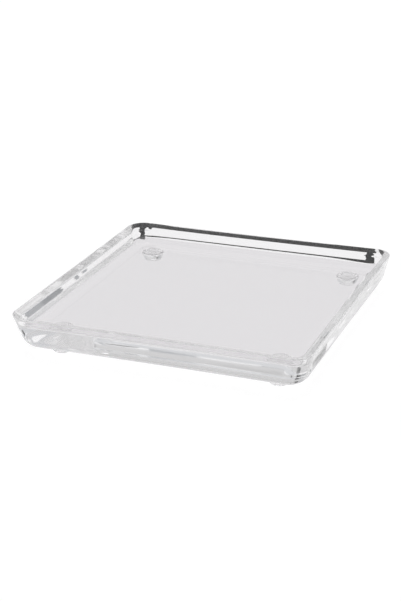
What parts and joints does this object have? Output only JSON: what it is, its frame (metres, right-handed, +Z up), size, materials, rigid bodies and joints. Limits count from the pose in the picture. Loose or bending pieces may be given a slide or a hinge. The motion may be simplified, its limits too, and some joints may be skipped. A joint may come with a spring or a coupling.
{
  "type": "candle plate",
  "caption": "Square pressed-glass candle plate: a thick clear tray with a sloping rim and a leaning wall, held just off the table by small clear cushion feet.",
  "frame": {"origin": "on the surface that the plate stands on, under the middle of the plate", "axes": "+Z up through the middle of the tray, +X and +Y along the sides of the square, -Y towards the long front edge nearest the camera"},
  "size_m": [0.2, 0.2, 0.0292],
  "materials": {
    "clear_glass": "clear colourless pressed glass, fire-polished",
    "clear_rubber": "clear soft polyurethane, smooth",
    "clear_adhesive": "clear acrylic adhesive film"
  },
  "bodies": {
    "root": {"glass_plate": "clear_glass", "foot_front_left": "clear_rubber", "foot_front_right": "clear_rubber", "foot_back_left": "clear_rubber", "foot_back_right": "clear_rubber", "adhesive_disc_front_left": "clear_adhesive", "adhesive_disc_front_right": "clear_adhesive", "adhesive_disc_back_left": "clear_adhesive", "adhesive_disc_back_right": "clear_adhesive"}
  },
  "joints": []
}
